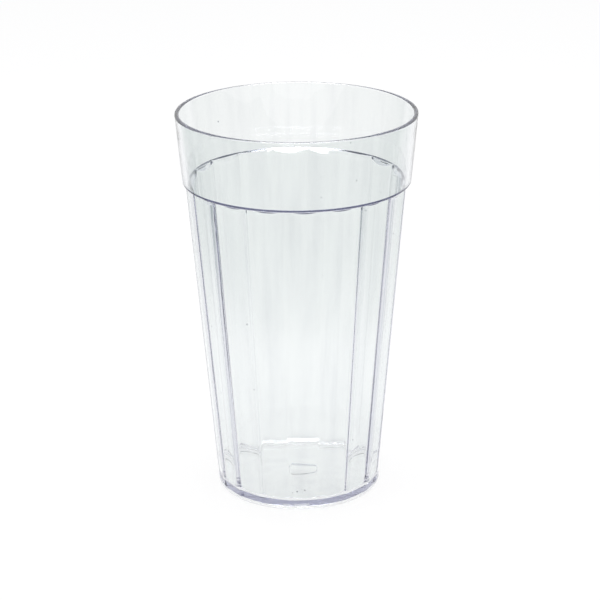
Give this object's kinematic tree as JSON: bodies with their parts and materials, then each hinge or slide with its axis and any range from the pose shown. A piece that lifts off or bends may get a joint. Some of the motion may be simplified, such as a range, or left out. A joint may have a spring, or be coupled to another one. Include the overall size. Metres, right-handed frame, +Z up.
{
  "type": "plastic tumbler cup",
  "caption": "Tall clear plastic tumbler with a smooth tapered band at the rim, a small stacking ledge and a tapered body of flat panels on a round foot.",
  "frame": {"origin": "middle of the base, on the surface the cup stands on", "axes": "+Z up along the cup's axis; one ridge of the panelled body points along -Y"},
  "size_m": [0.0888, 0.0888, 0.1454],
  "materials": {
    "clear_plastic": "polished"
  },
  "bodies": {
    "root": {"tumbler": "clear_plastic"}
  },
  "joints": []
}
